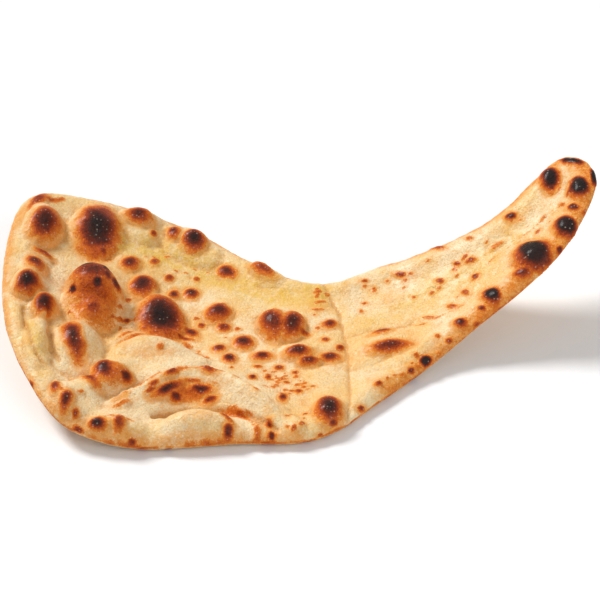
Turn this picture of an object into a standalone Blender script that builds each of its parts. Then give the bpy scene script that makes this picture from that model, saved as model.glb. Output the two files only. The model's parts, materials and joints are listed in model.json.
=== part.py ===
"""A long hand-stretched naan, laid in a shallow sag: a broad blistered lobe on the left, a fold line
across the middle, and a narrow tail that rises to the right and the back.

Run with: blender --background --python part.py
Metres, +Z up. The bread is drawn flat in plan, in millimetres, then lifted, thickened and blistered.
The origin is the middle of the bounding box at its lowest level, where the flat spot of the underside
rests.
"""

from math import cos, exp, inf, radians, sin, sqrt, tan

import bmesh
import bpy
from mathutils import Vector
from mathutils.kdtree import KDTree

MM = 0.001

# ---------------------------------------------------------------- driving sizes, in millimetres
CRUMB_THICKNESS = 8.0
RIM_THICKNESS = 12.0
RIM_INSET = 10.0  # from the edge to the highest line of the puffed rim
RIM_SPREAD = 8.0
EDGE_HEIGHT = 5.0  # the outermost line of the edge above the underside
TOP_ROUNDING = 9.0
UNDER_ROUNDING = 7.0
WAVE_RISE = 0.35  # the slight unevenness of hand-stretched dough
TAIL_THINNING = 0.68  # thickness of the narrow tail against that of the lobe
FULL_WIDTH = 130.0  # the bread is at its full thickness where it is this wide
NARROW_WIDTH = 45.0

# Plan outline, (x, y). The runs share their end points, which are the four corners of the loft.
BACK_EDGE = (
    (-193, 106),
    (-158, 118),
    (-105, 114),
    (-73, 107),
    (-40, 81),
    (-6, 57),
    (20, 51),
    (57, 62),
    (100, 61),
    (126, 63),
    (151, 72),
    (174, 89),
    (190, 91),
)
TIP_EDGE = (
    (190, 91),
    (203, 75),
    (202, 49),
)
FRONT_EDGE = (
    (-156, -102),
    (-127, -115),
    (-93, -118),
    (-38, -113),
    (1, -112),
    (27, -100),
    (51, -76),
    (80, -48),
    (112, -24),
    (153, -4),
    (181, 16),
    (202, 49),
)
LEFT_EDGE = (
    (-193, 106),
    (-204, 64),
    (-200, -6),
    (-185, -56),
    (-156, -102),
)

# A bend lifts the sheet past a line: where it starts, the plan heading it climbs along, its radius
# and the slope that it ends in.
LOBE_BEND = {"start": (-60, -14), "heading": 168, "radius": 210, "slope": 17}
TAIL_BEND = {"start": (46, -14), "heading": 24, "radius": 120, "slope": 31}
BENDS = (LOBE_BEND, TAIL_BEND)

# Big puffed bubbles: x, y, length, width, turn in degrees, rise.
BUBBLES = (
    # round the lobe's back rim
    (-181, 80, 38, 26, 80, 6),
    (-145, 90, 44, 40, 80, 8),
    (-113, 107, 28, 20, -20, 5),
    (-79, 92, 34, 22, -25, 6),
    (-27, 64, 24, 15, -40, 4),
    # the middle of the lobe
    (-141, 19, 58, 41, 85, 11),
    (-182, 15, 32, 22, 79, 6),
    (-172, -5, 26, 19, 77, 5),
    (-96, 13, 42, 34, -60, 8),
    (-108, 36, 26, 20, 67, 4),
    (-56, 17, 26, 21, -86, 4),
    (-11, 5, 34, 32, 10, 5),
    (1, -26, 28, 20, 0, 4),
    (-147, -33, 50, 34, 88, 8),
    (-171, -36, 52, 16, 89, 6),
    (-100, -30, 66, 42, 0, 9),
    # the front edge of the lobe
    (-122, -60, 34, 28, 15, 8),
    (-136, -76, 32, 24, 30, 6),
    (-150, -90, 24, 18, 79, 4),
    (-116, -104, 46, 22, -10, 5),
    (-66, -100, 60, 26, 0, 7),
    (19, -81, 34, 24, -87, 5),
    # the tail
    (57, -18, 48, 32, 20, 4),
    (158, 18, 30, 18, -60, 3),
)

# Folds of the dough, each a line in plan that is raised (or sunk, where the rise is below zero)
# over a width: the points, the rise and the half width.
FRONT_RIDGE = (((-112, -78), (-96, -66), (-80, -57), (-62, -54), (-46, -60), (-26, -78), (-4, -92)), 8, 13)
FRONT_CREASE = (((-92, -92), (-72, -84), (-52, -85), (-33, -93), (-14, -104)), -4, 6)
CENTRE_CREASE = (((16, 54), (21, 34), (30, 5), (33, -40), (32, -100)), -2, 5)
LOBE_GROOVE = (((-140, 74), (-106, 75), (-70, 65), (-41, 47), (-13, 33), (16, 37)), -2, 8)
TAIL_GROOVE = (((56, -2), (83, 18), (107, 20), (123, 24), (144, 37), (180, 54)), -1.2, 7)
SIDE_CREASE = (((-180, -10), (-178, -35), (-172, -58), (-164, -66)), -2.5, 4)
FOLDS = (FRONT_RIDGE, FRONT_CREASE, CENTRE_CREASE, LOBE_GROOVE, TAIL_GROOVE, SIDE_CREASE)
FOLD_FADE = 0.2  # share of a fold's length over which it rises from each end

BUBBLE_FULLNESS = 1.3  # lower makes a bubble's sides steeper
BUBBLE_MELDING = 3  # how sharply neighbouring bubbles run together
LEFT_BOW_REACH = 4  # higher keeps the left edge's curve nearer to that edge
TIP_BOW_REACH = 20

# ---------------------------------------------------------------- resolution
STATIONS_INSIDE = 82
ROWS_INSIDE = 26
UNDER_ROW_STEP = 4  # the underside repeats every fourth row of the top's middle
RIM_ROWS = (0.5, 1.8, 4.2, 8.0, 13.0)  # distances from the edge, on top
UNDER_RIM_ROWS = (1.8, 4.2, 8.0)
ROWS_NARROWEST = 62.0  # on a narrower cross-line the rim rows close up in proportion
END_ROWS = (0.6, 1.8, 4.2, 8.0, 13.0)
OUTLINE_STEP = 0.5

DOUGH_COLOUR = (0.86, 0.66, 0.38, 1.0)


# ---------------------------------------------------------------- curves in plan
def smooth_curve(points, t):
    """The Catmull-Rom curve through a closed ring of points, at t points along from the first."""
    i = int(t) % len(points)
    f = t - int(t)
    a, b, c, d = (Vector(points[(i + k) % len(points)]) for k in (-1, 0, 1, 2))
    tangent_b = (c - a) / 2
    tangent_c = (d - b) / 2
    return (
        b * (2 * f**3 - 3 * f**2 + 1)
        + tangent_b * (f**3 - 2 * f**2 + f)
        + c * (3 * f**2 - 2 * f**3)
        + tangent_c * (f**3 - f**2)
    )


class Run:
    """One stretch of the outline, read by the share of its length."""

    def __init__(self, ring, first, last):
        steps = 40 * abs(last - first)
        self.points = [smooth_curve(ring, first + (last - first) * k / steps) for k in range(steps + 1)]
        self.lengths = [0.0]
        for p, q in zip(self.points, self.points[1:]):
            self.lengths.append(self.lengths[-1] + (q - p).length)

    def at(self, share):
        wanted = share * self.lengths[-1]
        for k in range(1, len(self.points)):
            if self.lengths[k] >= wanted or k == len(self.points) - 1:
                span = self.lengths[k] - self.lengths[k - 1]
                return self.points[k - 1].lerp(self.points[k], (wanted - self.lengths[k - 1]) / span)


def outline_runs():
    """The closed outline, cut at its four corners into runs: back, tip, front and left."""
    ring = BACK_EDGE + TIP_EDGE[1:] + FRONT_EDGE[-2::-1] + LEFT_EDGE[-2:0:-1]
    back_end = len(BACK_EDGE) - 1
    tip_end = back_end + len(TIP_EDGE) - 1
    front_end = tip_end + len(FRONT_EDGE) - 1
    full_turn = len(ring)
    return (
        Run(ring, 0, back_end),
        Run(ring, back_end, tip_end),
        Run(ring, front_end, tip_end),
        Run(ring, full_turn, front_end),
    )


# ---------------------------------------------------------------- the sheet's lift, thickness and relief
def bend_height(x, y, bend):
    """How far one bend lifts the sheet: nothing, then an arc, then its straight slope."""
    heading = radians(bend["heading"])
    along = (x - bend["start"][0]) * cos(heading) + (y - bend["start"][1]) * sin(heading)
    radius, slope = bend["radius"], radians(bend["slope"])
    arc_length = radius * sin(slope)
    if along <= 0:
        return 0.0
    if along < arc_length:
        return radius - sqrt(radius**2 - along**2)
    return radius * (1 - cos(slope)) + (along - arc_length) * tan(slope)


def underside_height(x, y):
    return sum(bend_height(x, y, bend) for bend in BENDS)


def underside_normal(x, y):
    """The upward normal of the lifted sheet."""
    reach = 1.0
    slope_x = (underside_height(x + reach, y) - underside_height(x - reach, y)) / (2 * reach)
    slope_y = (underside_height(x, y + reach) - underside_height(x, y - reach)) / (2 * reach)
    return Vector((-slope_x, -slope_y, 1)).normalized()


def quarter_round(share):
    """0 at the edge, rising like a quarter circle to 1."""
    return sqrt(1 - (1 - min(share, 1.0)) ** 2)


def bubble_rise(x, y, bubble):
    centre_x, centre_y, length, width, turn, rise = bubble
    turn = radians(turn)
    along = (x - centre_x) * cos(turn) + (y - centre_y) * sin(turn)
    across = (y - centre_y) * cos(turn) - (x - centre_x) * sin(turn)
    reach = (2 * along / length) ** 2 + (2 * across / width) ** 2
    return rise * (1 - reach) ** BUBBLE_FULLNESS if reach < 1 else 0.0


def fold_rise(x, y, fold):
    """The rise of a fold by the distance to its line, fading out towards the line's two ends."""
    points, rise, half_width = fold
    place = Vector((x, y))
    legs = [(Vector(start), Vector(end) - Vector(start)) for start, end in zip(points, points[1:])]
    total = sum(leg.length for _, leg in legs)
    nearest, share_there, passed = inf, 0.0, 0.0
    for start, leg in legs:
        share = max(0.0, min(1.0, (place - start).dot(leg) / leg.length_squared))
        distance = (place - start - leg * share).length
        if distance < nearest:
            nearest = distance
            share_there = (passed + share * leg.length) / total
        passed += leg.length
    fade = min(1.0, share_there / FOLD_FADE, (1 - share_there) / FOLD_FADE)
    return rise * fade * exp(-((nearest / half_width) ** 2))


def relief(x, y):
    """What bubbles, folds and the dough's unevenness add to the thickness. Bubbles run together."""
    bubbles = sum(bubble_rise(x, y, bubble) ** BUBBLE_MELDING for bubble in BUBBLES) ** (1 / BUBBLE_MELDING)
    folds = sum(fold_rise(x, y, fold) for fold in FOLDS)
    waves = WAVE_RISE * (sin(x / 11 + sin(y / 17)) + sin(y / 9 + 2 * sin(x / 23)))
    return bubbles + folds + waves


def top_offset(x, y, inset, thinning):
    rim = (RIM_THICKNESS - CRUMB_THICKNESS) * exp(-(((inset - RIM_INSET) / RIM_SPREAD) ** 2))
    full = (CRUMB_THICKNESS + rim) * thinning
    edge = EDGE_HEIGHT * thinning
    rounding = quarter_round(inset / (TOP_ROUNDING * thinning))
    return edge + (full - edge + relief(x, y)) * rounding


def under_offset(inset, thinning):
    return EDGE_HEIGHT * thinning * (1 - quarter_round(inset / (UNDER_ROUNDING * thinning)))


# ---------------------------------------------------------------- the loft
def cross_line_rows(width):
    """Shares across a cross-line, back edge to front edge, and which of them the underside has too."""
    scale = max(width, ROWS_NARROWEST)
    rim = [row / scale for row in RIM_ROWS]
    first, last = rim[-1], 1 - rim[-1]
    inner = [first + (last - first) * k / (ROWS_INSIDE + 1) for k in range(1, ROWS_INSIDE + 1)]
    return [0.0, *rim, *inner, *(1 - share for share in reversed(rim)), 1.0]


def shared_rows():
    """Numbers of the top's rows that the coarser underside repeats."""
    rim = [RIM_ROWS.index(row) + 1 for row in UNDER_RIM_ROWS]
    last = 2 * len(RIM_ROWS) + ROWS_INSIDE + 1
    inner = range(len(RIM_ROWS) + 2, len(RIM_ROWS) + ROWS_INSIDE + 1, UNDER_ROW_STEP)
    return [0, *rim, *inner, *(last - row for row in reversed(rim)), last]


def station_shares(length):
    """Shares along the bread where the cross-lines stand, close together at both ends."""
    ends = [row / length for row in END_ROWS]
    first, last = ends[-1], 1 - ends[-1]
    inner = [first + (last - first) * k / (STATIONS_INSIDE + 1) for k in range(1, STATIONS_INSIDE + 1)]
    return [0.0, *ends, *inner, *(1 - share for share in reversed(ends)), 1.0]


def plan_point(runs, along, across):
    """A place in plan: straight cross-lines, which bow out to the curved ends near them."""
    back, tip, front, left = runs
    place = back.at(along).lerp(front.at(along), across)
    left_bow = left.at(across) - back.at(0).lerp(front.at(0), across)
    tip_bow = tip.at(across) - back.at(1).lerp(front.at(1), across)
    return place + left_bow * (1 - along) ** LEFT_BOW_REACH + tip_bow * along**TIP_BOW_REACH


def add_naan():
    runs = outline_runs()
    edge_tree = KDTree(sum(int(run.lengths[-1] / OUTLINE_STEP) + 1 for run in runs))
    count = 0
    for run in runs:
        steps = int(run.lengths[-1] / OUTLINE_STEP)
        for k in range(steps + 1):
            edge_tree.insert(run.at(k / steps).to_3d(), count)
            count += 1
    edge_tree.balance()

    bm = bmesh.new()
    stations = station_shares(runs[0].lengths[-1])
    shared = shared_rows()
    top, under = [], []
    for number, along in enumerate(stations):
        at_end = number in (0, len(stations) - 1)
        width = (runs[0].at(along) - runs[2].at(along)).length
        full = min(max((width - NARROW_WIDTH) / (FULL_WIDTH - NARROW_WIDTH), 0.0), 1.0)
        thinning = TAIL_THINNING + (1 - TAIL_THINNING) * full
        rows = cross_line_rows(width)
        top.append([])
        under.append([])
        for row, across in enumerate(rows):
            place = plan_point(runs, along, across)
            on_edge = at_end or row in (0, len(rows) - 1)
            inset = 0.0 if on_edge else edge_tree.find(place.to_3d())[2]
            foot = Vector((place.x, place.y, underside_height(place.x, place.y)))
            normal = underside_normal(place.x, place.y)
            upper = bm.verts.new((foot + normal * top_offset(place.x, place.y, inset, thinning)) * MM)
            top[-1].append(upper)
            if row in shared:
                below = foot + normal * under_offset(inset, thinning)
                under[-1].append(upper if on_edge else bm.verts.new(below * MM))

    last_station = len(stations) - 1
    for i in range(last_station):
        for j in range(len(top[i]) - 1):
            bm.faces.new((top[i][j], top[i][j + 1], top[i + 1][j + 1], top[i + 1][j]))
        for k in range(len(shared) - 1):
            whole_row = slice(shared[k], shared[k + 1] + 1)
            near = top[i][whole_row] if i == 0 else under[i][k : k + 2]
            far = top[i + 1][whole_row] if i + 1 == last_station else under[i + 1][k : k + 2]
            bm.faces.new((*reversed(near), *far))
    bmesh.ops.triangulate(bm, faces=bm.faces)
    bmesh.ops.recalc_face_normals(bm, faces=bm.faces)

    lowest = Vector(min(v.co[k] for v in bm.verts) for k in range(3))
    highest = Vector(max(v.co[k] for v in bm.verts) for k in range(3))
    middle = (lowest + highest) / 2
    bmesh.ops.translate(bm, verts=bm.verts, vec=(-middle.x, -middle.y, -lowest.z))

    mesh = bpy.data.meshes.new("naan")
    bm.to_mesh(mesh)
    bm.free()
    mesh.shade_smooth()
    naan = bpy.data.objects.new("naan", mesh)
    bpy.context.scene.collection.objects.link(naan)
    return naan


def dough_material():
    material = bpy.data.materials.new("baked_dough")
    material.use_nodes = True
    shader = material.node_tree.nodes["Principled BSDF"]
    shader.inputs["Base Color"].default_value = DOUGH_COLOUR
    shader.inputs["Roughness"].default_value = 0.55
    return material


def main():
    for old in list(bpy.data.objects):
        bpy.data.objects.remove(old, do_unlink=True)
    naan = add_naan()
    naan.data.materials.append(dough_material())


main()
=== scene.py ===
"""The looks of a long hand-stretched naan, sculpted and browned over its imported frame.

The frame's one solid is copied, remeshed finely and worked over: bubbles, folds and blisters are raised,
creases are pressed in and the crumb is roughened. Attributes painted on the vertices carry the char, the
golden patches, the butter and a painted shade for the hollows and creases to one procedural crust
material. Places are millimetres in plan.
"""

import json
import random
from math import cos, pi, radians, sin

import bpy
import numpy as np
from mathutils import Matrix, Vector

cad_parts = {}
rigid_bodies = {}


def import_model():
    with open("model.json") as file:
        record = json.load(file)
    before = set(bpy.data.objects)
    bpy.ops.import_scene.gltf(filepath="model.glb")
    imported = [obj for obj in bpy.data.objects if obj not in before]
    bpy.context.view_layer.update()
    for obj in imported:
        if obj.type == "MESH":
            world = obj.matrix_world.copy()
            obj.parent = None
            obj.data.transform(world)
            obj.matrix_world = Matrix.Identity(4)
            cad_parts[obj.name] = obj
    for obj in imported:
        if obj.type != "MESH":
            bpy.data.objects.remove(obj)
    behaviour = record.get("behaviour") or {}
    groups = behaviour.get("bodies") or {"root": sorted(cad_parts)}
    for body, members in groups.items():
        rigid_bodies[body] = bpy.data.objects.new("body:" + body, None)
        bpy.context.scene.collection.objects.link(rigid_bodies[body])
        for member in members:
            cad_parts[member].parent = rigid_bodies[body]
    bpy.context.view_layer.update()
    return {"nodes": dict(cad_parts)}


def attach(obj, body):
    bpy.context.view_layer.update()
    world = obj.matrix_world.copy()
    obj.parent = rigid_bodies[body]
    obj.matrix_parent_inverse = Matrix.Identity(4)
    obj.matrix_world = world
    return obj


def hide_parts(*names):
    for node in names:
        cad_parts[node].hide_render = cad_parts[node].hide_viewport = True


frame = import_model()
MM = 0.001

# ---------------------------------------------------------------- sizes of the sculpting
VOXEL = 1.4 * MM  # the crust's mesh size
FACET_SMOOTHING = 14  # passes that round the frame's facets away
PUFF_SMOOTHING = 3  # passes that soften the puffs' feet
LAST_SMOOTHING = 1  # passes over the finished relief
PUFF_HEIGHT = 10.0 * MM  # rise of a puffed bubble painted with a full weight
BLISTER_HEIGHT = 4.5 * MM  # rise of a blister painted with a full weight
CREASE_DEPTH = 4.0 * MM  # depth of a crease painted with a full weight
LEAST_WEIGHT = 0.003  # a smaller weight isn't painted
LUMP_SIZE = 15 * MM
LUMP_HEIGHT = 1.3 * MM
PEBBLE_SIZE = 4 * MM
PEBBLE_HEIGHT = 0.9 * MM
UNDERSIDE_RELIEF = 0.15  # share of the lumps and pebbles that the underside keeps
BLISTER_STEEPNESS = 0.2  # a blister's rise as a share of its width
BLISTER_MOST_RISE = 4.5  # mm
BLISTER_FOOT = 1.1  # where a blister's dome ends, as a share of its outline
BLISTER_FULLNESS = 0.8  # the power that shapes a blister's dome: lower is fuller
MOAT_SHARE = 0.12  # depth of the dip round a puff, as a share of the puff's rise
MOAT_REACH = 1.1  # where that dip is deepest, as a share of the puff's outline
MOAT_WIDTH = 0.1
MOAT_ENDS_AT = 0.3  # mm: no dip where a puff or a flap rises more than this

# How far upward the crust faces, from -1 to 1, where a treatment of the top starts and where it is full.
TOP_FOR_PUFFS = (0.0, 0.4)
TOP_FOR_BLISTERS = (-0.1, 0.35)
TOP_FOR_COLOUR = (-0.35, 0.1)
UNDERSIDE_ENDS = (-0.55, -0.1)  # where the underside's colour starts to give way, and where it is gone

# Puffed bubbles, crisp at their feet: x, y, length, width, turn in degrees, rise in mm.
PUFFS = (
    (-144, 78, 50, 40, 79, 6.0),
    (-179, 69, 42, 28, 77, 5.0),
    (-114, 95, 34, 26, -35, 4.5),
    (-78, 84, 50, 28, -29, 5.0),
    (-185, 45, 16, 10, 63, 3.0),
    (-179, 36, 20, 18, -85, 3.5),
    (-181, 24, 24, 18, 86, 3.5),
    (-182, 5, 28, 22, 76, 6.0),
    (-170, -11, 29, 20, 86, 5.0),
    (-139, 5, 58, 41, -90, 9.0),
    (-170, -47, 46, 17, -81, 5.0),
    (-145, -43, 46, 35, 86, 6.5),
    (-94, 2, 42, 35, -72, 6.0),
    (-94, -46, 69, 44, 6, 7.0),
    (-119, -68, 36, 30, -58, 6.0),
    (-141, -88, 41, 32, 35, 5.0),
    (-113, -84, 27, 22, 54, 3.5),
    (-114, -111, 41, 20, 7, 3.0),
    (-61, -109, 54, 38, -6, 5.0),
    (-12, 0, 37, 30, -43, 5.0),
    (2, -31, 32, 22, -20, 3.5),
    (63, -25, 65, 36, 21, 3.0),
    (-22, 55, 28, 19, -43, 3.0),
)
FLAP_CREST = (
    (-112, -80),
    (-102, -74),
    (-90, -66),
    (-77, -61),
    (-61, -58),
    (-44, -66),
    (-31, -77),
    (-20, -85),
)
FLAP_END = ((-20, -85), (-11, -88), (-3, -97), (1, -106))
# Folded flaps: the crest's line, its rise, how soon it drops behind, how slowly in front (mm).
FLAPS = (
    (FLAP_CREST, 7.5, 4, 15),
    (FLAP_END, 3.0, 3.5, 8),
)

# Scorched blisters: x, y, length, width, turn in degrees, char. A char of 1 is black in the middle,
# and one above 1 is black nearly to the blister's rim.
LOBE_BACK_RIM = (
    (-142, 76, 53, 32, 85, 1.0),
    (-177, 66, 34, 21, 72, 0.85),
    (-185, 94, 26, 12, 69, 0.6),
    (-115, 99, 21, 14, -6, 0.75),
    (-90, 92, 13, 11, -80, 0.7),
    (-75, 84, 19, 19, -16, 0.95),
    (-25, 56, 25, 11, -41, 0.6),
    (-51, 61, 18, 12, -40, 0.8),
    (-104, 89, 6, 5, 73, 0.5),
)
LOBE_MIDDLE = (
    (-139, 14, 35, 25, 0, 0.72),
    (-144, 22, 18, 13, 10, 1.0),
    (-131, 20, 12, 10, 60, 0.75),
    (-124, 14, 11, 7, 80, 0.75),
    (-138, 3, 66, 40, -88, 0.45),
    (-152, 4, 7, 5, -47, 0.9),
    (-135, 5, 10, 8, 59, 0.9),
    (-129, 14, 14, 7, 89, 0.75),
    (-137, -10, 20, 15, 35, 0.6),
    (-118, 54, 18, 14, 60, 0.75),
    (-102, 63, 12, 7, 79, 0.55),
    (-91, 48, 9, 7, 72, 0.55),
    (-72, 52, 7, 5, 80, 0.4),
    (-94, 73, 7, 4, 23, 0.25),
    (-137, 58, 9, 7, 76, 0.55),
    (-108, 32, 24, 19, 76, 0.85),
    (-87, 31, 14, 8, 84, 0.75),
    (-75, 34, 14, 12, 84, 0.8),
    (-93, -1, 40, 34, -77, 1.0),
    (-55, 12, 20, 18, 28, 0.8),
    (-51, -1, 11, 10, -6, 0.65),
    (-66, 1, 7, 6, 1, 0.55),
    (-73, -7, 14, 9, -45, 0.75),
    (-37, -18, 16, 15, -80, 0.85),
    (-53, -24, 10, 9, -14, 0.7),
    (-46, -35, 11, 10, 90, 0.8),
    (-44, -46, 5, 3, 83, 0.4),
    (-18, -3, 31, 19, -70, 0.75),
    (-4, -4, 26, 16, 68, 0.85),
)
LOBE_LEFT_SIDE = (
    (-176, 41, 16, 9, -12, 0.6),
    (-179, 25, 18, 14, -72, 0.75),
    (-181, 1, 23, 16, 67, 0.95),
    (-169, -13, 21, 14, 78, 0.9),
    (-147, -42, 39, 14, -72, 0.8),
    (-153, -12, 3, 2, 43, 0.35),
    (-171, -79, 7, 3, -54, 0.6),
)
FRECKLES_BY_THE_BIG_BUBBLES = (
    (-116, -4, 6, 5, 66, 0.6),
    (-121, 3, 6, 3, 58, 0.35),
    (-117, 17, 7, 4, 62, 0.45),
    (-125, -9, 5, 3, 55, 0.4),
    (-120, -13, 6, 3, -88, 0.35),
    (-103, -12, 9, 4, 16, 0.45),
)
BY_THE_CENTRE_CREASE = (
    (-24, -32, 15, 10, 2, 0.75),
    (0, -32, 20, 12, 2, 0.8),
    (7, -39, 16, 9, 3, 0.7),
    (21, -33, 15, 12, 18, 0.75),
    (21, 2, 13, 10, 38, 0.65),
    (13, -2, 5, 5, -16, 0.35),
    (4, -8, 8, 7, -4, 0.5),
    (18, -14, 6, 5, -4, 0.5),
    (28, -21, 8, 6, 40, 0.55),
    (15, 27, 14, 4, 10, 0.35),
    (13, 18, 15, 4, 9, 0.35),
    (13, 36, 8, 3, 4, 0.4),
)
FRECKLED_PATCH = (
    (-30, -55, 8, 5, 68, 0.65),
    (-20, -53, 6, 5, 86, 0.55),
    (-27, -42, 7, 4, 4, 0.45),
    (-13, -43, 7, 5, -3, 0.65),
    (-2, -48, 5, 4, -13, 0.5),
    (0, -67, 6, 5, -2, 0.5),
    (-10, -75, 10, 6, 77, 0.7),
    (19, -90, 25, 19, -87, 0.95),
    (22, -100, 7, 4, 31, 0.65),
    (40, -83, 6, 4, 38, 0.6),
    (14, -107, 5, 2, 19, 0.45),
    (-3, -107, 5, 4, -88, 0.4),
)
FRONT_FOLD = (
    (-82, -64, 13, 6, 36, 0.6),
    (-58, -61, 14, 6, -25, 0.6),
    (-69, -67, 14, 3, 2, 0.5),
    (-93, -73, 9, 5, 36, 0.5),
    (-95, -77, 8, 3, 26, 0.5),
    (-84, -74, 25, 7, 31, 0.85),
    (-63, -72, 18, 7, -9, 0.85),
    (-79, -77, 9, 6, 14, 0.75),
    (-57, -78, 10, 5, 2, 0.7),
    (-70, -73, 43, 13, 7, 0.35),
    (-17, -110, 6, 5, -84, 0.75),
    (-19, -102, 7, 5, -66, 0.55),
    (-26, -109, 16, 6, -88, 0.45),
    (-44, -110, 9, 7, 79, 0.8),
    (-37, -90, 10, 3, -33, 0.6),
    (-45, -102, 14, 4, -40, 0.55),
)
LOBE_FRONT_LEFT = (
    (-125, -66, 21, 15, -54, 0.85),
    (-111, -69, 12, 8, 66, 0.75),
    (-120, -70, 27, 19, 20, 0.4),
    (-133, -74, 21, 10, -43, 0.6),
    (-154, -87, 14, 8, -81, 0.65),
    (-146, -98, 14, 9, 73, 0.8),
    (-138, -87, 5, 3, 39, 0.3),
    (-140, -104, 6, 5, 74, 0.55),
    (-126, -110, 14, 8, -6, 0.9),
    (-112, -110, 13, 9, 87, 0.6),
    (-113, -89, 18, 5, 32, 0.3),
    (-138, -111, 9, 3, -17, 0.6),
    (-104, -117, 6, 3, 2, 0.6),
    (-79, -13, 23, 5, -10, 0.55),
    (-91, -39, 8, 6, 69, 0.35),
    (-75, -24, 6, 3, 72, 0.4),
    (-116, -21, 17, 4, 45, 0.35),
)
TAIL = (
    (188, 81, 21, 7, -38, 1.35),
    (173, 72, 23, 14, -83, 1.25),
    (190, 54, 21, 14, -81, 1.5),
    (201, 62, 20, 6, 86, 1.35),
    (146, 54, 9, 6, -34, 0.8),
    (185, 40, 10, 6, -33, 0.8),
    (179, 47, 6, 3, -58, 0.4),
    (179, 27, 20, 15, -59, 1.5),
    (157, 14, 32, 23, -61, 1.5),
    (174, 13, 6, 5, 51, 0.7),
    (192, 36, 5, 3, 72, 0.5),
    (149, 2, 16, 9, -22, 0.75),
    (129, -4, 18, 11, -54, 1.35),
    (122, -11, 7, 4, -29, 0.7),
    (108, -17, 12, 8, -35, 0.8),
    (119, -19, 6, 3, 12, 0.5),
    (136, 38, 12, 5, 11, 0.3),
    (118, 51, 6, 3, -39, 0.5),
    (97, 55, 14, 5, -40, 0.55),
    (118, 34, 9, 5, -17, 0.55),
    (109, 36, 6, 3, -40, 0.6),
    (97, 28, 8, 4, -36, 0.5),
    (120, 20, 6, 5, -43, 0.6),
    (113, 10, 7, 4, -49, 0.5),
    (104, 3, 9, 4, -34, 0.5),
    (88, 0, 10, 3, -23, 0.35),
    (79, 22, 4, 2, -23, 0.45),
    (71, 44, 10, 4, -22, 0.6),
    (78, 42, 5, 2, -26, 0.4),
    (46, 45, 5, 3, -6, 0.45),
    (56, -9, 17, 10, 20, 0.65),
    (61, -27, 33, 13, 9, 0.75),
    (43, 18, 4, 3, -13, 0.35),
    (84, -40, 10, 7, 34, 1.25),
    (74, -48, 7, 5, 33, 0.7),
    (78, -37, 5, 4, -23, 0.4),
    (93, -23, 5, 3, -56, 0.45),
    (100, -27, 5, 4, 6, 0.55),
    (52, -63, 6, 5, 45, 0.6),
)
# Patches of small golden freckles: x, y, length, width, turn, how many.
FRECKLE_FIELDS = (
    (-10, -57, 46, 28, 5, 34),
    (-115, -9, 34, 22, 30, 12),
    (13, 24, 18, 34, 0, 8),
    (62, 36, 60, 22, 15, 8),
    (120, 36, 70, 14, 25, 14),
    (80, -42, 60, 10, 40, 9),
    (170, 40, 60, 30, 60, 12),
    (-80, 60, 60, 16, -15, 8),
    (-60, 5, 50, 40, 0, 8),
    (-150, -100, 40, 16, -40, 6),
    (5, -98, 50, 16, 10, 7),
)
FRECKLE_SIZE = (2.5, 5.5)  # least and most length in mm
FRECKLE_SLIMNESS = (0.5, 0.9)  # width as a share of length
FRECKLE_TILT = 40  # degrees to either side of the field's turn
FRECKLE_CHAR = (0.2, 0.42)
FRECKLE_CROWDING = 0.6  # 0.5 spreads a field evenly, more crowds its middle


def scattered_freckles():
    """Small blisters strewn over the fields, the same ones each time."""
    generator = random.Random(29)
    for x, y, length, width, turn, count in FRECKLE_FIELDS:
        for _ in range(count):
            reach = generator.random() ** FRECKLE_CROWDING / 2
            heading = generator.uniform(0, 2 * pi)
            along = length * reach * cos(heading)
            across = width * reach * sin(heading)
            place_x = x + along * cos(radians(turn)) - across * sin(radians(turn))
            place_y = y + along * sin(radians(turn)) + across * cos(radians(turn))
            size = generator.uniform(*FRECKLE_SIZE)
            slimness = generator.uniform(*FRECKLE_SLIMNESS)
            tilt = turn + generator.uniform(-FRECKLE_TILT, FRECKLE_TILT)
            yield (place_x, place_y, size, size * slimness, tilt, generator.uniform(*FRECKLE_CHAR))


BLISTERS = (
    LOBE_BACK_RIM
    + LOBE_MIDDLE
    + LOBE_LEFT_SIDE
    + FRECKLES_BY_THE_BIG_BUBBLES
    + BY_THE_CENTRE_CREASE
    + FRECKLED_PATCH
    + FRONT_FOLD
    + LOBE_FRONT_LEFT
    + TAIL
    + tuple(scattered_freckles())
)
FLAT_SCORCH_OVER = 36  # mm: a longer scorch raises no blister of its own, and lies on what is there

# Creases: the line in plan, the half width and the depth in mm.
CREASES = (
    (((17, 48), (21, 34), (28, 17), (31, -12), (33, -40), (33, -80), (31, -98)), 1.4, 1.3),
    (((30, -12), (48, -4), (76, -2)), 1.8, 0.9),
    (((8, -23), (29, -25)), 1.8, 0.8),
    (((33, -44), (48, -42), (60, -35)), 1.8, 0.7),
    (((-92, -92), (-85, -89), (-72, -84), (-52, -85), (-33, -93), (-14, -106)), 2.0, 3.8),
    (((-182, -17), (-178, -37), (-171, -56), (-164, -64)), 1.8, 2.2),
    (((-166, -15), (-163, -31), (-160, -51), (-155, -58)), 1.8, 2.2),
)
# Browned crests of folds and bubbles: the line, the half width in mm and the char.
BROWNED_LINES = (
    (((-120, -34), (-112, -24), (-102, -17), (-92, -15), (-80, -17), (-68, -26), (-62, -34)), 3.0, 0.36),
    (((-112, -79), (-102, -72), (-90, -64)), 2.6, 0.36),
    (((-77, -59), (-61, -56), (-48, -61)), 3.0, 0.45),
    (((-44, -65), (-31, -76), (-20, -85)), 2.0, 0.2),
    (((-49, -85), (-39, -88), (-31, -94), (-26, -104), (-25, -113)), 3.4, 0.3),
    (((-146, -71), (-134, -67), (-124, -73)), 2.4, 0.45),
    (((-130, -109), (-118, -104), (-104, -106)), 2.0, 0.4),
    (((-190, 83), (-184, 96), (-170, 103)), 3.0, 0.5),
    (((47, -15), (54, -5), (63, -4), (75, -6), (96, -2), (114, 0)), 1.6, 0.26),
    (((104, 6), (131, 28), (160, 40), (178, 50)), 1.4, 0.2),
)
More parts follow.
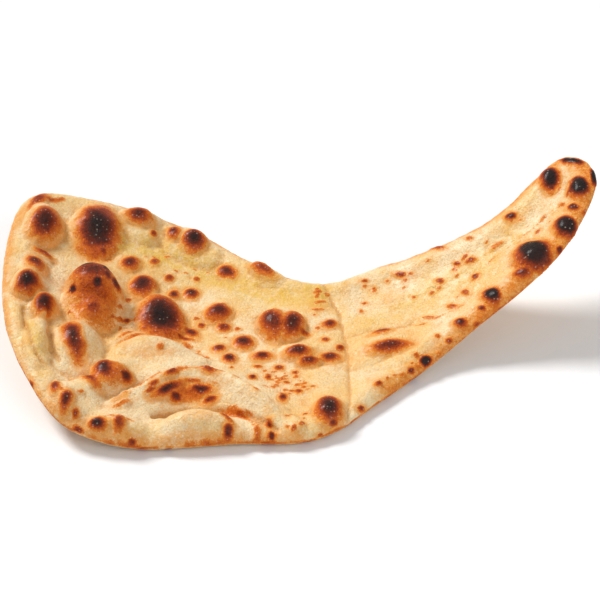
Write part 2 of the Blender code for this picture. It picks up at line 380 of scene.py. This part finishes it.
# Golden patches: x, y, length, width, turn in degrees, amount.
TOASTED_PATCHES = (
    (-10, -55, 44, 26, 5, 0.45),
    (-62, -104, 40, 16, -4, 0.4),
    (-94, -42, 46, 24, 5, 0.55),
    (-113, -83, 24, 9, 40, 0.9),
    (-148, -92, 26, 14, 60, 0.4),
    (-176, -50, 24, 12, -70, 0.5),
    (13, 25, 22, 24, 0, 0.6),
    (135, 38, 26, 8, 30, 0.6),
    (150, 52, 60, 10, 25, 0.35),
)
# The golden margin: the line, the half width in mm and the amount.
TOASTED_EDGES = (
    (((60, -66), (84, -44), (114, -20), (150, 0), (176, 18), (196, 46), (198, 66), (190, 82)), 10, 1.0),
    (((57, 60), (100, 58), (126, 60), (150, 68), (172, 84), (188, 86)), 5, 0.9),
    (((-197, -10), (-188, -52), (-160, -97), (-127, -113), (-93, -117), (-40, -113), (0, -110)), 5, 0.7),
    (((-188, 100), (-201, 60), (-198, 0)), 6, 0.7),
    (((-150, 114), (-105, 110), (-73, 102), (-40, 77), (-6, 54), (20, 49)), 4, 0.7),
)
# Butter stands in the shallow grooves: the line, the half width in mm and the amount.
BUTTER = (
    (((-134, 75), (-106, 75), (-70, 65), (-41, 47), (-13, 33), (13, 36)), 12, 1.2),
    (((50, 5), (83, 22), (107, 24), (123, 27), (144, 39)), 10, 0.5),
    (((-178, -30), (-170, -56)), 6, 0.6),
    (((-110, 70), (-60, 50)), 16, 0.4),
)

# ---------------------------------------------------------------- sizes of the browning
CHAR_REACH = 1.3  # where a scorch has faded out, as a share of its outline
PLATEAU_LENGTH = 30  # mm: half of this is the length from which a scorch has no evenly burnt middle
RIM_CHAR = 0.16  # char of a golden margin painted in full
GLOW_MARGIN = 7  # mm: what the golden glow adds to a scorch's length and width together
UNDERSIDE_SCORCHES = 150
UNDERSIDE_SCORCH_SIZE = (5, 19)  # least and most length in mm
UNDERSIDE_CHAR = (0.3, 0.8)
HOLLOW_PASSES = 10  # smoothing passes that the depth of a dip, for the painted shade, is measured against
DEEP_HOLLOW = 0.7  # mm: a dip this deep takes the full painted shade of the creases


# ---------------------------------------------------------------- painting by rule
def deselect_all():
    if bpy.context.object and bpy.context.object.mode != "OBJECT":
        bpy.ops.object.mode_set(mode="OBJECT")
    bpy.ops.object.select_all(action="DESELECT")


def make_active(piece):
    deselect_all()
    piece.select_set(True)
    bpy.context.view_layer.objects.active = piece


def places_and_normals(piece):
    """Vertex places in mm and their normals, as two arrays."""
    mesh = piece.data
    places = np.empty(len(mesh.vertices) * 3, np.float32)
    mesh.vertices.foreach_get("co", places)
    normals = np.empty(len(mesh.vertices) * 3, np.float32)
    mesh.vertex_normals.foreach_get("vector", normals)
    return places.reshape(-1, 3).astype(float) / MM, normals.reshape(-1, 3).astype(float)


def smooth_step(low, high, values):
    share = np.clip((values - low) / (high - low), 0, 1)
    return share * share * (3 - 2 * share)


def wobble(places, size, seed):
    """A soft unevenness from -1 to 1 with lumps of the given size in mm."""
    generator = random.Random(seed)
    total = np.zeros(len(places))
    for octave in range(6):
        heading = generator.uniform(0, 2 * pi)
        wave = 2 * pi / (size * generator.uniform(0.7, 1.5))
        across = places[:, 0] * cos(heading) + places[:, 1] * sin(heading)
        bend = places[:, 1] * cos(heading) - places[:, 0] * sin(heading)
        total += np.sin(across * wave + generator.uniform(0, 6) + 1.3 * np.sin(bend * wave * 0.6))
    return total / 6


def ellipse_reach(places, row):
    """0 at a blister's middle, 1 on its outline."""
    x, y, length, width, turn = row[:5]
    turn = radians(turn)
    along = (places[:, 0] - x) * cos(turn) + (places[:, 1] - y) * sin(turn)
    across = (places[:, 1] - y) * cos(turn) - (places[:, 0] - x) * sin(turn)
    return np.hypot(2 * along / length, 2 * across / width)


def nearest_on_line(places, points):
    """Distance in mm from a chain of points, and a side: above zero to its left, below to its right."""
    nearest = np.full(len(places), np.inf)
    side = np.zeros(len(places))
    for start, end in zip(points, points[1:]):
        start = np.array(start, float)
        leg = np.array(end, float) - start
        offset = places[:, :2] - start
        share = np.clip(offset @ leg / (leg @ leg), 0, 1)
        distance = np.hypot(*(offset - share[:, None] * leg).T)
        turned = leg[0] * offset[:, 1] - leg[1] * offset[:, 0]
        side = np.where(distance < nearest, turned, side)
        nearest = np.minimum(nearest, distance)
    return nearest, side


def line_distance(places, points):
    return nearest_on_line(places, points)[0]


def fading(distance, half_width):
    """1 at no distance, and nearly nothing at twice the half width."""
    return np.exp(-((distance / half_width) ** 2))


def paint_group(piece, name, weights):
    """A vertex group whose weights are the given values."""
    group = piece.vertex_groups.new(name=name)
    weights = np.clip(weights, 0, 1)
    for index in np.flatnonzero(weights > LEAST_WEIGHT):
        group.add([int(index)], float(weights[index]), "REPLACE")
    return group


def paint_attribute(piece, name, values):
    attribute = piece.data.attributes.new(name, "FLOAT", "POINT")
    attribute.data.foreach_set("value", np.clip(values, 0, 1).astype(np.float32))


# ---------------------------------------------------------------- the crust's shape
def apply_modifier(piece, kind, **settings):
    modifier = piece.modifiers.new(kind.title(), kind)
    for name, value in settings.items():
        setattr(modifier, name, value)
    make_active(piece)
    bpy.ops.object.modifier_apply(modifier=modifier.name)


def copy_of_the_frame(node):
    """The frame's loose triangles, copied and merged into one closed skin."""
    make_active(node)
    bpy.ops.object.duplicate()
    crust = bpy.context.object
    for key in [key for key in crust.keys() if key.startswith("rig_")]:
        del crust[key]
    crust.name = "naan_crust"
    bpy.ops.object.parent_clear(type="CLEAR_KEEP_TRANSFORM")
    bpy.ops.object.mode_set(mode="EDIT")
    bpy.ops.mesh.select_all(action="SELECT")
    bpy.ops.mesh.remove_doubles(threshold=0.01 * MM)
    bpy.ops.object.mode_set(mode="OBJECT")
    crust.data.materials.clear()
    return crust


def lump_texture(name, size, depth=2):
    texture = bpy.data.textures.new(name, "CLOUDS")
    texture.noise_scale = size
    texture.noise_depth = depth
    return texture


def blister_weights(places):
    weights = np.zeros(len(places))
    for row in BLISTERS:
        length, width = row[2:4]
        if length > FLAT_SCORCH_OVER:
            continue
        rise = min(BLISTER_STEEPNESS * width, BLISTER_MOST_RISE) * MM / BLISTER_HEIGHT
        dome = np.clip(1 - (ellipse_reach(places, row) / BLISTER_FOOT) ** 2, 0, 1) ** BLISTER_FULLNESS
        weights = np.maximum(weights, rise * dome)
    return weights


def puff_weights(places):
    """Steep-sided bubbles, each in a slight moat, and the folded flaps."""
    rise = np.zeros(len(places))
    moat = np.zeros(len(places))
    ragged = 1 + 0.05 * wobble(places, size=22, seed=13)
    for row in PUFFS:
        height = row[5]
        reach = ellipse_reach(places, row) * ragged
        rise = np.maximum(rise, height * np.sqrt(np.clip(1 - reach**2, 0, 1)))
        moat = np.maximum(moat, MOAT_SHARE * height * fading(reach - MOAT_REACH, MOAT_WIDTH))
    for points, height, behind, ahead in FLAPS:
        distance, side = nearest_on_line(places, points)
        drop = np.clip(1 - (distance / behind) ** 2, 0, 1)
        rise = np.maximum(rise, height * np.where(side > 0, drop, fading(distance, ahead)))
    return (rise - moat * (rise <= MOAT_ENDS_AT)) * MM / PUFF_HEIGHT


def crease_weights(places):
    weights = np.zeros(len(places))
    for points, half_width, depth in CREASES:
        distance = line_distance(places, points) + 0.5 * wobble(places, size=9, seed=5)
        weights = np.maximum(weights, depth * MM / CREASE_DEPTH * fading(distance, half_width))
    return weights


def sculpt(crust):
    apply_modifier(crust, "REMESH", mode="VOXEL", voxel_size=VOXEL, adaptivity=0)
    apply_modifier(crust, "SMOOTH", factor=0.5, iterations=FACET_SMOOTHING)
    places, normals = places_and_normals(crust)
    top = smooth_step(*TOP_FOR_PUFFS, normals[:, 2])
    weights = top * puff_weights(places)
    paint_group(crust, "puffs", weights)
    paint_group(crust, "moats", -weights)
    for group, strength in (("puffs", PUFF_HEIGHT), ("moats", -PUFF_HEIGHT)):
        apply_modifier(
            crust, "DISPLACE", strength=strength, mid_level=0, vertex_group=group, direction="Z"
        )
    crust.vertex_groups.clear()
    apply_modifier(crust, "REMESH", mode="VOXEL", voxel_size=VOXEL, adaptivity=0)
    apply_modifier(crust, "SMOOTH", factor=0.5, iterations=PUFF_SMOOTHING)
    places, normals = places_and_normals(crust)
    top = smooth_step(*TOP_FOR_BLISTERS, normals[:, 2])
    paint_group(crust, "top", UNDERSIDE_RELIEF + (1 - UNDERSIDE_RELIEF) * top)
    paint_group(crust, "blisters", top * blister_weights(places))
    paint_group(crust, "creases", top * crease_weights(places))
    for name, size, height in (("lumps", LUMP_SIZE, LUMP_HEIGHT), ("pebbles", PEBBLE_SIZE, PEBBLE_HEIGHT)):
        apply_modifier(
            crust,
            "DISPLACE",
            texture=lump_texture(name, size),
            texture_coords="LOCAL",
            strength=height,
            mid_level=0.5,
            vertex_group="top",
        )
    apply_modifier(crust, "DISPLACE", strength=BLISTER_HEIGHT, mid_level=0, vertex_group="blisters")
    apply_modifier(crust, "DISPLACE", strength=-CREASE_DEPTH, mid_level=0, vertex_group="creases")
    apply_modifier(crust, "SMOOTH", factor=0.4, iterations=LAST_SMOOTHING)
    crust.vertex_groups.clear()
    crust.data.shade_smooth()


# ---------------------------------------------------------------- the crust's colour, painted by rule
def hollowness(crust, places, normals, passes):
    """How far each point lies below (above zero) or above its smoothed surroundings, in mm."""
    edges = np.empty(len(crust.data.edges) * 2, np.int32)
    crust.data.edges.foreach_get("vertices", edges)
    first, second = edges.reshape(-1, 2).T
    count = np.bincount(np.concatenate((first, second)), minlength=len(places))
    smoothed = places.copy()
    for _ in range(passes):
        for axis in range(3):
            column = smoothed[:, axis]
            total = np.bincount(first, column[second], len(places))
            total = total + np.bincount(second, column[first], len(places))
            smoothed[:, axis] = 0.5 * column + 0.5 * total / count
    return ((smoothed - places) * normals).sum(1)


def char_paint(places, top):
    """How burnt the crust is: full in a blister's middle, fading past its ragged outline."""
    ragged = 1 + 0.14 * wobble(places, size=11, seed=3) + 0.08 * wobble(places, size=4.5, seed=4)
    char = np.zeros(len(places))
    for row in BLISTERS:
        length, burn = row[2], row[5]
        plateau = np.clip(0.5 - length / PLATEAU_LENGTH, 0, 0.4)
        reach = ellipse_reach(places, row) * ragged
        char = np.maximum(char, burn * smooth_step(CHAR_REACH, plateau, reach))
    for points, half_width, amount in TOASTED_EDGES:
        char = np.maximum(char, RIM_CHAR * amount * fading(line_distance(places, points), half_width))
    for points, half_width, amount in BROWNED_LINES:
        distance = line_distance(places, points) * ragged + 0.4 * wobble(places, size=7, seed=6)
        broken = 0.6 + 0.6 * wobble(places, size=13, seed=7)
        char = np.maximum(char, amount * broken * fading(distance, half_width))
    return char * top


def toast_paint(places):
    """The golden glow round each scorch, and the golden patches between them."""
    toast = np.zeros(len(places))
    for row in BLISTERS:
        length, width, burn = row[2], row[3], row[5]
        spread = 1 + GLOW_MARGIN / (length + width)
        glow = smooth_step(1.45, 0.7, ellipse_reach(places, row) / spread)
        toast = np.maximum(toast, min(1.0, burn + 0.15) * glow)
    for row in TOASTED_PATCHES:
        toast = np.maximum(toast, row[5] * smooth_step(1.2, 0.2, ellipse_reach(places, row)))
    for points, half_width, amount in TOASTED_EDGES:
        distance = line_distance(places, points) * (1 + 0.3 * wobble(places, size=30, seed=33))
        toast = np.maximum(toast, amount * fading(distance, half_width))
    return toast


def underside_scorches(places, under):
    """The side that lay on the oven's wall: many middling scorches, scattered."""
    generator = random.Random(11)
    low, high = places.min(0), places.max(0)
    ragged = 1 + 0.25 * wobble(places, size=9, seed=8)
    char = np.zeros(len(places))
    for _ in range(UNDERSIDE_SCORCHES):
        x = generator.uniform(low[0], high[0])
        y = generator.uniform(low[1], high[1])
        length = generator.uniform(*UNDERSIDE_SCORCH_SIZE)
        width = length * generator.uniform(0.55, 1)
        row = (x, y, length, width, generator.uniform(-90, 90))
        burn = generator.uniform(*UNDERSIDE_CHAR)
        char = np.maximum(char, burn * smooth_step(1.2, 0.3, ellipse_reach(places, row) * ragged))
    return char * under


def colour(crust):
    places, normals = places_and_normals(crust)
    top = smooth_step(*TOP_FOR_COLOUR, normals[:, 2])
    under = 1 - smooth_step(*UNDERSIDE_ENDS, normals[:, 2])
    side = np.clip(1 - np.abs(normals[:, 2] + 0.1) / 0.5, 0, 1)
    patches = 0.3 + 0.25 * wobble(places, size=40, seed=41) + 0.15 * wobble(places, size=12, seed=42)
    scorched_edge = side * np.clip(patches, 0, 1)
    char = np.maximum(char_paint(places, top), underside_scorches(places, under))
    paint_attribute(crust, "char", np.maximum(char, scorched_edge))
    golden = 0.15 + 0.3 * wobble(places, size=55, seed=21) + 0.25 * wobble(places, size=18, seed=22)
    golden = np.maximum(golden * top, 0.8 * side) + 0.45 * under
    paint_attribute(crust, "golden", np.maximum(golden, toast_paint(places) * top))
    butter = np.zeros(len(places))
    for points, half_width, amount in BUTTER:
        distance = line_distance(places, points) * (1 + 0.3 * wobble(places, size=25, seed=31))
        butter = np.maximum(butter, amount * fading(distance, half_width))
    paint_attribute(crust, "butter", butter * top)
    # Painted shade: darker where the surface dips below its smoothed surroundings and along the pressed
    # creases.
    hollow_shade = hollowness(crust, places, normals, HOLLOW_PASSES)
    paint_attribute(crust, "hollow_shade", np.maximum(hollow_shade / DEEP_HOLLOW, crease_weights(places)) * top)


# ---------------------------------------------------------------- the crust's material
def linear(red, green, blue):
    """A display colour from 0 to 255, as the shader's linear light."""
    share = (channel / 255 for channel in (red, green, blue))
    return (*(c / 12.92 if c <= 0.04045 else ((c + 0.055) / 1.055) ** 2.4 for c in share), 1.0)


PALE_DOUGH = linear(253, 230, 186)
WARM_DOUGH = linear(250, 208, 138)
GOLDEN_CRUST = linear(242, 154, 50)
# The painted shade laid into hollows and creases, a darker orange-brown.
PAINTED_CREASE_SHADE = linear(216, 150, 72)
GOLDEN_GRAIN = linear(244, 180, 88)
# Pale flecks: flour dust on the dough, and the colour of the painted glints that stand in for highlights on
# the crust.
FLOUR_AND_GLINT_SPECK = linear(255, 234, 206)
BUTTERED_DOUGH = linear(238, 194, 70)
CHAR_STEPS = (
    (0.05, linear(244, 182, 92)),
    (0.15, linear(236, 142, 44)),
    (0.32, linear(216, 104, 18)),
    (0.49, linear(166, 60, 5)),
    (0.67, linear(108, 34, 3)),
    (0.85, linear(58, 18, 4)),
    (1.00, linear(24, 10, 6)),
)

# Scales of the crust's textures: a higher one is finer.
BROAD_SCALE = 38
MOTTLE_SCALE = 150
PIT_SCALE = 420.0
# GLINT_SCALE sets the size of the painted highlight dots.
GLINT_SCALE = 430.0
FINE_SCALE = 520
SAND_SCALE = 900
GRAIN_SCALE = 1500
BUMP_DEPTH = 1.8 * MM


class Graph:
    """Short hand for building one material's nodes."""

    def __init__(self, material):
        self.nodes = material.node_tree.nodes
        self.links = material.node_tree.links

    def node(self, kind, inputs=None, **settings):
        made = self.nodes.new(kind)
        for name, value in settings.items():
            setattr(made, name, value)
        for name, value in (inputs or {}).items():
            self.put(made.inputs[name], value)
        return made

    def put(self, socket, value):
        if isinstance(value, bpy.types.NodeSocket):
            self.links.new(value, socket)
        else:
            socket.default_value = value

    def attribute(self, name):
        return self.node("ShaderNodeAttribute", attribute_name=name).outputs["Fac"]

    def math(self, operation, first, second=0.0, third=0.0, clamp=False):
        made = self.node("ShaderNodeMath", operation=operation, use_clamp=clamp)
        for socket, value in zip(made.inputs, (first, second, third)):
            self.put(socket, value)
        return made.outputs[0]

    def noise(self, where, scale, detail=2.0, roughness=0.5):
        inputs = {"Vector": where, "Scale": scale, "Detail": detail, "Roughness": roughness}
        return self.node("ShaderNodeTexNoise", inputs).outputs["Fac"]

    def remap(self, value, low, high, to_low=0.0, to_high=1.0):
        inputs = {"Value": value, "From Min": low, "From Max": high, "To Min": to_low, "To Max": to_high}
        return self.node("ShaderNodeMapRange", inputs, interpolation_type="SMOOTHSTEP").outputs["Result"]

    def mix(self, share, first, second):
        made = self.node("ShaderNodeMix", data_type="RGBA")
        self.put(made.inputs[0], share)
        self.put(made.inputs[6], first)
        self.put(made.inputs[7], second)
        return made.outputs[2]

    def ramp(self, value, steps):
        made = self.node("ShaderNodeValToRGB", {"Fac": value})
        elements = made.color_ramp.elements
        elements[0].position, elements[0].color = steps[0]
        elements[1].position, elements[1].color = steps[-1]
        for position, shade in steps[1:-1]:
            elements.new(position).color = shade
        return made.outputs["Color"]


def crust_material():
    material = bpy.data.materials.new("baked_naan_crust")
    material.use_nodes = True
    graph = Graph(material)
    shader = graph.nodes["Principled BSDF"]
    where = graph.node("ShaderNodeTexCoord").outputs["Object"]

    broad = graph.noise(where, BROAD_SCALE, 3)
    mottle = graph.noise(where, MOTTLE_SCALE, 5, 0.6)
    fine = graph.noise(where, FINE_SCALE, 4, 0.65)
    grain = graph.noise(where, GRAIN_SCALE, 2, 0.6)

    dough = graph.mix(graph.remap(broad, 0.35, 0.68), PALE_DOUGH, WARM_DOUGH)
    golden = graph.math("ADD", graph.attribute("golden"), graph.math("MULTIPLY", mottle, 0.9))
    golden = graph.math("ADD", golden, graph.math("MULTIPLY", fine, 0.5))
    dough = graph.mix(graph.remap(golden, 0.8, 1.55, 0, 0.85), dough, GOLDEN_CRUST)
    butter = graph.math("MULTIPLY", graph.attribute("butter"), graph.remap(mottle, 0.3, 0.65, 0.35, 1.0))
    dough = graph.mix(graph.math("MULTIPLY", butter, 0.85), dough, BUTTERED_DOUGH)
    # painted shade: hollows and creases darken toward the painted crease shade
    dough = graph.mix(graph.remap(graph.attribute("hollow_shade"), 0.05, 0.9, 0, 0.75), dough, PAINTED_CREASE_SHADE)

    sand = graph.noise(where, SAND_SCALE, 3, 0.7)
    dough = graph.mix(graph.remap(sand, 0.53, 0.32, 0, 0.75), dough, GOLDEN_GRAIN)
    dough = graph.mix(graph.remap(sand, 0.52, 0.7, 0, 0.5), dough, FLOUR_AND_GLINT_SPECK)

    painted = graph.attribute("char")
    unevenness = graph.math("MULTIPLY_ADD", graph.math("SUBTRACT", mottle, 0.5), 0.35, painted)
    unevenness = graph.math("MULTIPLY_ADD", graph.math("SUBTRACT", fine, 0.5), 0.42, unevenness)
    unevenness = graph.math("MULTIPLY_ADD", graph.math("SUBTRACT", grain, 0.5), 0.35, unevenness)
    char = graph.math("MULTIPLY", unevenness, graph.remap(painted, 0.0, 0.16))
    colour_there = graph.mix(graph.remap(char, 0.05, 0.2), dough, graph.ramp(char, CHAR_STEPS))
    # Painted highlights: tiny pale dots scattered over the crust stand in for glints of light on the ghee.
    glint_cells = graph.node("ShaderNodeTexVoronoi", {"Vector": where, "Scale": GLINT_SCALE})
    glint_chances = graph.node("ShaderNodeSeparateColor", {"Color": glint_cells.outputs["Color"]})
    kept_glints = graph.math("GREATER_THAN", glint_chances.outputs[0], 0.6)
    painted_glint = graph.math("MULTIPLY", graph.remap(glint_cells.outputs["Distance"], 0.32, 0.14), kept_glints)
    colour_there = graph.mix(graph.math("MULTIPLY", painted_glint, 0.22), colour_there, FLOUR_AND_GLINT_SPECK)
    graph.put(shader.inputs["Base Color"], colour_there)

    roughness = graph.remap(fine, 0.35, 0.65, 0.7, 0.45)
    roughness = graph.math("MULTIPLY_ADD", butter, -0.2, roughness, clamp=True)
    graph.put(shader.inputs["Roughness"], roughness)
    shader.inputs["Specular IOR Level"].default_value = 0.2
    shader.inputs["Coat Weight"].default_value = 0.1
    shader.inputs["Coat Roughness"].default_value = 0.2

    pits = graph.node(
        "ShaderNodeTexVoronoi", {"Vector": where, "Scale": PIT_SCALE, "Randomness": 1.0}, feature="SMOOTH_F1"
    ).outputs["Distance"]
    height = graph.math("MULTIPLY_ADD", fine, 0.7, graph.math("MULTIPLY", mottle, 0.8))
    height = graph.math("MULTIPLY_ADD", pits, 0.25, height)
    height = graph.math("MULTIPLY_ADD", sand, 0.6, height)
    bump = graph.node("ShaderNodeBump", {"Height": height, "Strength": 1.0, "Distance": BUMP_DEPTH})
    graph.put(shader.inputs["Normal"], bump.outputs["Normal"])
    return material


# ---------------------------------------------------------------- the studio
FLOOR_SIZE = 6
FLOOR_DROP = 0.4 * MM  # the crust's relief reaches a little below the frame's lowest point
LAMP_AIM = (0, 0, 0.04)
KEY_PLACE = (-0.75, 0.6, 1.05)
KEY_STRENGTH = 2.9
KEY_SPREAD = radians(18)
FILL_PLACE = (0.8, -0.9, 0.9)
FILL_POWER = 6
FILL_SIZE = 1.0
SURROUNDING_LIGHT = 0.45

def add_light(kind, name, place, aim, power, width):
    """A soft lamp that faces the aim; the width is its size in metres, or a sun's spread in radians."""
    bpy.ops.object.light_add(type=kind, location=place)
    lamp = bpy.context.object
    lamp.name = name
    lamp.data.energy = power
    if kind == "SUN":
        lamp.data.angle = width
    else:
        lamp.data.size = width
    lamp.rotation_euler = (Vector(aim) - Vector(place)).to_track_quat("-Z", "Y").to_euler()


def add_studio():
    deselect_all()
    bpy.ops.mesh.primitive_plane_add(size=FLOOR_SIZE, location=(0, 0, -FLOOR_DROP))
    floor = bpy.context.object
    floor.name = "studio_floor"
    material = bpy.data.materials.new("pale_floor")
    material.use_nodes = True
    shader = material.node_tree.nodes["Principled BSDF"]
    shader.inputs["Base Color"].default_value = (0.86, 0.86, 0.86, 1)
    shader.inputs["Roughness"].default_value = 0.7
    floor.data.materials.append(material)

    add_light("SUN", "key_light", KEY_PLACE, LAMP_AIM, KEY_STRENGTH, KEY_SPREAD)
    add_light("AREA", "fill_light", FILL_PLACE, LAMP_AIM, FILL_POWER, FILL_SIZE)
    world = bpy.context.scene.world or bpy.data.worlds.new("studio")
    bpy.context.scene.world = world
    world.use_nodes = True
    background = world.node_tree.nodes["Background"]
    background.inputs["Color"].default_value = (1, 1, 1, 1)
    background.inputs["Strength"].default_value = SURROUNDING_LIGHT
    bpy.context.scene.view_settings.view_transform = "Standard"


CAMERA_ELEVATION = radians(38)
CAMERA_DISTANCE = 1.112
CAMERA_LENS = 100
CAMERA_AIM = (0.9 * MM, -7.4 * MM, 37 * MM)


def add_camera():
    back = (0, -cos(CAMERA_ELEVATION), sin(CAMERA_ELEVATION))
    place = [aim + CAMERA_DISTANCE * step for aim, step in zip(CAMERA_AIM, back)]
    bpy.ops.object.camera_add(location=place, rotation=(pi / 2 - CAMERA_ELEVATION, 0, 0))
    camera = bpy.context.object
    camera.data.lens = CAMERA_LENS
    bpy.context.scene.camera = camera


def build_crust():
    crust = copy_of_the_frame(frame["nodes"]["naan"])
    sculpt(crust)
    colour(crust)
    crust.data.materials.append(crust_material())
    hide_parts("naan")
    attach(crust, "root")
    return crust


add_camera()
add_studio()
build_crust()
